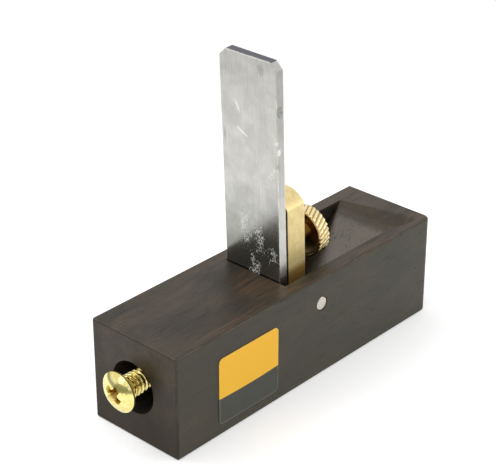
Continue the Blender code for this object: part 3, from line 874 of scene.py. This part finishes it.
def buildBody():
    look = bodyShape
    size = (bodyHigh - bodyLow) / mm
    halfWidth = size.y / 2
    outline = [(0, -halfWidth), (size.x, -halfWidth), (size.x, halfWidth), (0, halfWidth)]
    shape = prism(outline, 0, size.z, "z")
    nearToe = [e for e in shape.edges if all(v.co.x > 1 and v.co.y < 0 for v in e.verts)]
    bmesh.ops.bevel(shape, geom=nearToe, offset=look["toeCorner"], segments=10, profile=0.5, affect="EDGES")
    body = newPiece("planeBody", shape)
    bevel(body, look["edgeRound"], 4, 50)

    upIron = ironFrame.to_3x3().col[2]
    lean = upIron.x / upIron.z
    below, above = -overcut, size.z + overcut
    bed, mouth = look["bedFromHeel"], look["mouthFront"]
    rampEnd = size.x - look["toeLand"]
    slope = (rampEnd - mouth) / (size.z - look["mouthLip"])
    throat = [
        (bed + lean * below, below), (mouth, below), (mouth, look["mouthLip"]),
        (rampEnd + overcut * slope, above), (bed + lean * above, above),
    ]
    cut(body, prism(throat, -look["throatHalf"], look["throatHalf"], "y"))
    plainMesh(body)
    roundAcross(body, rampEnd, size.z, look["rampBlend"], 8)

    pin = (bodyFrame.inverted() @ ironFrame.translation) / mm
    reach = halfWidth + overcut
    cut(body, cylinder(look["pinBore"], -reach, reach, 64), Matrix.Translation(pin) @ zAcross)
    heel = (bodyFrame.inverted() @ heelFrame.translation) / mm
    boreEnd = bed + overcut / 2
    bore = [
        (-overcut, 0), (-overcut, look["insertBore"]), (look["insertEnd"], look["insertBore"]),
        (look["insertEnd"], look["pointBore"]), (boreEnd, look["pointBore"]), (boreEnd, 0),
    ]
    cut(body, turned(bore, 64), Matrix.Translation(heel) @ zAlong)
    heel.z -= look["counterboreDrop"]
    counterbore = cylinder(look["counterbore"], -overcut, look["counterboreDepth"], 96)
    cut(body, counterbore, Matrix.Translation(heel) @ zAlong)
    bevel(body, look["cutRound"], 2, 40)
    evenNormals(body)
    setInFrame(body, bodyFrame, ebonyMaterial(), "plane", "plane_body")


ironShape = {
    "corner": 2.1,
    "grind": 35.0,        # degrees
    "edgeRound": 0.14,
    "dimple": {"along": 1.3, "up": 57.0, "radius": 1.15, "depth": 0.28},
}


def buildIron():
    look = ironShape
    low, high = localBox("plane_iron", ironFrame)
    corner = look["corner"]
    outline = [
        (low.y, low.z), (high.y, low.z), (high.y, high.z - corner), (high.y - corner, high.z),
        (low.y + corner, high.z), (low.y, high.z - corner),
    ]
    shape = prism(outline, low.x, high.x, "x")
    rise = (high.x - low.x) / math.tan(math.radians(look["grind"]))
    for vert in shape.verts:
        if vert.co.x == low.x and vert.co.z == low.z:  # ground away towards the back
            vert.co.z += rise
    iron = newPiece("planeIron", shape)
    spot = look["dimple"]
    ball = (spot["radius"] ** 2 + spot["depth"] ** 2) / (2 * spot["depth"])
    angles = [math.pi * k / 48 for k in range(1, 48)]
    arc = [(-ball * math.cos(t), ball * math.sin(t)) for t in angles]
    centre = Vector((low.x + spot["along"], low.y - ball + spot["depth"], spot["up"]))
    cut(iron, turned([(-ball, 0)] + arc + [(ball, 0)], 64), Matrix.Translation(centre))
    bevel(iron, look["edgeRound"], 2, 30)
    evenNormals(iron)
    setInFrame(iron, ironFrame, ironMaterial(), "iron", "plane_iron")


capShape = {
    "thickness": 7.0,
    "front": 3.85,         # from the cross pin
    "upperBack": 2.95,
    "waist": (4.0, 7.0),   # where the back steps in, above the pin
    "archRise": 3.2,
    "footHeight": 4.5,
    "noseHeight": 10.0,
    "noseLand": 1.5,
    "holeRadius": 2.3,
    "edgeRound": 0.22,
    "crease": 27.0,        # degrees, so that the line under the arch stays crisp
    "brush": (3.0, 3.0, 0.12),
}


def buildCap():
    look = capShape
    low, high = localBox("lever_cap", ironFrame)
    half = look["thickness"] / 2
    standoff = -half - low.x
    front, back, above = look["front"], -look["upperBack"], high.z + overcut
    side = [
        (low.x, low.z), (low.x + look["noseLand"], low.z), (front, low.z + look["noseHeight"]),
        (front, above), (back, above), (back, look["waist"][1]), (-half, look["waist"][0]),
        (-half, low.z + look["footHeight"] + standoff), (low.x, low.z + look["footHeight"]),
    ]
    cap = newPiece("leverCap", prism(side, low.y, high.y, "y"))
    radius = (high.y ** 2 + look["archRise"] ** 2) / (2 * look["archRise"])
    spread = math.asin(high.y / radius)
    angles = [spread * (k / 24 - 1) for k in range(49)]
    arch = [(radius * math.sin(t), high.z - radius + radius * math.cos(t)) for t in angles]
    near, far = low.y - overcut, high.y + overcut
    spring, clear = arch[0][1] - overcut * math.tan(spread), high.z + 3 * overcut
    waste = [(near, spring)] + arch + [(far, spring), (far, clear), (near, clear)]
    cut(cap, prism(waste, low.x - 2 * overcut, half + 2 * overcut, "x"))
    arm = (ironFrame.inverted() @ thumbFrame.translation) / mm
    through = 10 * overcut
    for place in (zAcross, Matrix.Translation(arm) @ zAlong):  # for the pin and for the thumb screw
        cut(cap, cylinder(look["holeRadius"], -through, through, 48), place)
    bevel(cap, look["edgeRound"], 3, 40)
    plainMesh(cap)
    cap.data.set_sharp_from_angle(angle=math.radians(look["crease"]))
    evenNormals(cap)
    # painted shade: the cap's foot darker brown
    footMark = {"at": (0, 0, 2.5), "half": (60.0, 60.0, 7.0), "ragged": 0.3}
    # painted shade: a near-black strip at the back, for the gap beside the iron
    backMark = {"at": (back - 0.32, 0, 20.0), "half": (0.5, 40.0, 80.0), "ragged": 0.3}
    material = brassMaterial("cap", ironFrame, look["brush"], "lever_cap", oxide=[footMark], grime=[backMark])
    setInFrame(cap, ironFrame, material, "cap", "lever_cap")


thumbShape = {
    "headThickness": 4.2,
    "faceDimple": [(0.30, 0), (0.05, 0.45), (0.0, 0.6)],  # below the face, and from the axis
    "faceEdge": [(0.0, 0.5), (0.08, 0.2)],  # below the face, and inside the knurl
    "bandStart": 0.20,     # the knurl, from the face
    "bandEnd": 0.10,       # and from the underside
    "ridges": 32,
    "samples": 10,         # points round each ridge
    "rows": 36,
    "lead": 2.7,           # how far along the band a ridge moves over by one
    "knurlDepth": 0.38,
    "crossDepth": 0.06,
    "crest": 0.2,          # flat share of a ridge
    "chamfer": 0.18,
    "rim": 0.35,
    "lip": 0.1,
    "hollow": 2.4,
    "hollowRadius": 2.6,
    "studRadius": 2.0,
    "studStart": 0.6,      # inside the head
    "pitch": 0.7,
    "threadDepth": 0.43,
    "crease": 32.0,
}


def threadedRod(name, start, end, radius, look, sides, finish):
    rowsPerTurn = 12
    crest = 0.14  # flat share of the thread
    rows = round((end - start) / look["pitch"] * rowsPerTurn)
    root = radius - look["threadDepth"]
    rings = [(start, 0), (start, root)]
    for k in range(1, rows):
        z = start + (end - start) * k / rows
        tip = min(1.0, (end - z) / look["threadDepth"])  # chamfered end
        rings.append((z, root + (radius - root) * tip, tip))
    rings += [(end, root), (end, 0)]
    rod = newPiece(name, turned(rings, sides))
    cutHelix(rod, starts=1, lead=look["pitch"], rightDepth=look["threadDepth"], leftDepth=0.0, crest=crest,
             finish=finish)
    return rod


def buildThumbScrew():
    look = thumbShape
    low, high = localBox("thumb_screw", thumbFrame)
    outer, radius = low.z, high.y
    inner = outer + look["headThickness"]
    root = radius - look["knurlDepth"]
    hollow, lip = look["hollow"], look["lip"]
    # painted shade: the bowl under the head darker brown
    bowl = {"at": (0, 0, inner - hollow / 2), "half": (7.2, 7.2, hollow * 0.8)}
    # painted shade: near black in the lower half of the bowl
    foot = {"at": (-4.5, 0, inner - hollow / 2), "half": (5.0, 6.6, hollow)}
    # the knurl's groove roots are darkened with painted shade
    grooves = {"crest": radius - 0.08, "root": root + 0.04, "start": outer + 0.05}
    finish = brassMaterial("thumb", thumbFrame, (2.0, 2.0, 2.0), grooves=grooves, oxide=[bowl], grime=[foot])

    rings = [(outer + depth, r) for depth, r in look["faceDimple"]]
    rings += [(outer + depth, root - inset) for depth, inset in look["faceEdge"]]
    bandStart, bandEnd = outer + look["bandStart"], inner - look["bandEnd"]
    for k in range(look["rows"] + 1):
        z = bandStart + (bandEnd - bandStart) * k / look["rows"]
        rise = min(1.0, (z - bandStart) / look["chamfer"], (bandEnd - z) / look["chamfer"])
        rings.append((z, root + (radius - root) * rise, rise))
    rimRadius = root - look["rim"]
    rings += [(inner, root - lip), (inner, rimRadius + lip), (inner - lip, rimRadius)]
    for k in range(1, 11):  # concave bowl down to the stud
        t = k / 10 * math.pi / 2
        rings.append((inner - lip - (hollow - lip) * math.sin(t),
                      look["hollowRadius"] + (rimRadius - look["hollowRadius"]) * math.cos(t)))
    rings.append((inner - hollow, 0))
    slant = -2 * math.pi / (look["lead"] * look["ridges"])  # the blank's lines run along the ridges
    blank = [(z, r, share[0] if share else 0.0, slant * max(z, bandStart)) for z, r, *share in rings]
    head = newPiece("thumbScrew", turned(blank, look["ridges"] * look["samples"]))
    cutHelix(head, starts=look["ridges"], lead=look["lead"], rightDepth=look["crossDepth"],
             leftDepth=look["knurlDepth"], crest=look["crest"], finish=finish)
    studStart = inner - hollow - look["studStart"]
    stud = threadedRod("stud", studStart, high.z, look["studRadius"], look, 40, finish)
    joinInto(head, stud)
    head.data.shade_smooth()
    head.data.set_sharp_from_angle(angle=math.radians(look["crease"]))
    setInFrame(head, thumbFrame, finish, "thumb", "thumb_screw")


heelShape = {
    "headUnder": -4.4,     # underside of the head, from the heel end
    "rim": 0.6,
    "domeBlend": 0.12,
    "underRound": 0.15,
    "edgeRound": 0.09,
    "radius": 3.2,
    "rodStart": 0.3,       # inside the head
    "pitch": 1.27,
    "threadDepth": 0.75,
    "crease": 40.0,
    # the cutters of the cross recess start above the dome and taper to a tip inside it
    "recess": {"above": 1.0, "depth": 2.3, "turn": 34.0, "span": 6.0, "tipSpan": 2.6, "width": 2.35,
               "tipWidth": 1.2, "coreRadius": 2.15, "coreTip": 0.8},
}


def recessCutter(crown, spec):  # one tapered arm pair of the cross
    shape = bmesh.new()
    grow = (spec["span"] - spec["tipSpan"]) / spec["depth"]
    mouth = (crown - spec["above"], spec["span"] + grow * spec["above"], spec["width"])
    tip = (crown + spec["depth"], spec["tipSpan"], spec["tipWidth"])
    corners = ((-0.5, -0.5), (0.5, -0.5), (0.5, 0.5), (-0.5, 0.5))
    return closed(shape, [[shape.verts.new((a * span, b * width, z)) for a, b in corners]
                          for z, span, width in (mouth, tip)])


def buildHeelScrew():
    look = heelShape
    low, high = localBox("heel_screw", heelFrame)
    under, headRadius, crown = look["headUnder"], high.y, low.z
    spec = look["recess"]
    # painted shade: the cross recess darker brown
    slot = {"at": (0, 0, crown + 2.0), "half": (spec["span"] / 2, spec["span"] / 2, 2.1)}
    # painted reflection: a darker olive band across the dome
    band = {"at": (-2.6, -2.3, crown + 0.9), "half": (1.3, 3.0, 1.8), "ragged": 2.4}
    root = look["radius"] - look["threadDepth"] * 0.8
    # the thread roots are darkened with painted shade
    grooves = {"crest": look["radius"], "root": root, "start": under + 0.1}
    finish = brassMaterial("heel", heelFrame, (1.6, 1.6, 1.6), grooves=grooves, tarnish=[band], oxide=[slot])
    rimZ = under - look["rim"]
    rise = rimZ - crown
    ball = (headRadius ** 2 + rise ** 2) / (2 * rise)
    spread = math.asin(headRadius / ball)
    angles = [spread * k / 24 for k in range(1, 25)]
    rings = [(crown, 0)] + [(crown + ball - ball * math.cos(t), ball * math.sin(t)) for t in angles]
    edge = look["underRound"]
    rings += [(rimZ + look["domeBlend"], headRadius), (under - edge, headRadius), (under, headRadius - edge),
              (under, 0)]
    head = newPiece("heelScrew", turned(rings, 96))
    top, bottom = crown - spec["above"], crown + spec["depth"]
    cut(head, turned([(top, 0), (top, spec["coreRadius"]), (bottom, spec["coreTip"]), (bottom, 0)], 32))
    for quarter in (0, 90):
        turn = Matrix.Rotation(math.radians(spec["turn"] + quarter), 4, "Z")
        cut(head, recessCutter(crown, spec), turn)
    bevel(head, look["edgeRound"], 2, 35)
    evenNormals(head)
    plainMesh(head)
    rod = threadedRod("rod", under - look["rodStart"], high.z, look["radius"], look, 56, finish)
    rod.data.set_sharp_from_angle(angle=math.radians(look["crease"]))
    joinInto(head, rod)
    setInFrame(head, heelFrame, finish, "heel", "heel_screw")


def buildPin():
    look = pinLook
    low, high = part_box("cross_pin")
    half = (high.y - low.y) / 2 / mm
    radius = (high.x - low.x) / 2 / mm
    end = [(0.0, 0.0), (look["crown"], radius * 0.5)]
    end += [(along, radius - inset) for along, inset in look["endRound"]]
    rings = [(-half + along, r) for along, r in end] + [(half - along, r) for along, r in reversed(end)]
    pin = newPiece("crossPin", turned(rings, 64))
    middle = Matrix.Translation((low + high) / 2)
    setInFrame(pin, middle @ zAcross, pinMaterial(middle), "plane", "cross_pin")


def buildLabel():
    look = labelLook
    low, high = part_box("label")
    half = (high - low) / 2 / mm
    corner = look["corner"]
    outline = []
    for x, z, start in ((1, 1, 0), (-1, 1, 90), (-1, -1, 180), (1, -1, 270)):
        centreX, centreZ = x * (half.x - corner), z * (half.z - corner)
        for k in range(13):
            t = math.radians(start + 90 * k / 12)
            outline.append((centreX + corner * math.cos(t), centreZ + corner * math.sin(t)))
    glued = (bodyLow.y - low.y) / mm - half.y  # its back lies on the wood
    label = newPiece("label", prism(outline, -half.y, glued, "y"))
    bevel(label, look["edgeRound"], 2, 40)
    evenNormals(label)
    place = Matrix.Translation((low + high) / 2)
    setInFrame(label, place, labelMaterial(place, half), "plane", "label")


buildBody()
buildIron()
buildCap()
buildThumbScrew()
buildHeelScrew()
buildPin()
buildLabel()

plainFinish = brassMaterial("insert", heelFrame, (2.0, 2.0, 2.0))
for node in ("screw_insert", "heel_screw_point", "thumb_screw_point"):
    mesh = frame["nodes"][node].data
    mesh.materials.clear()
    mesh.materials.append(plainFinish)

print("all pieces in place")
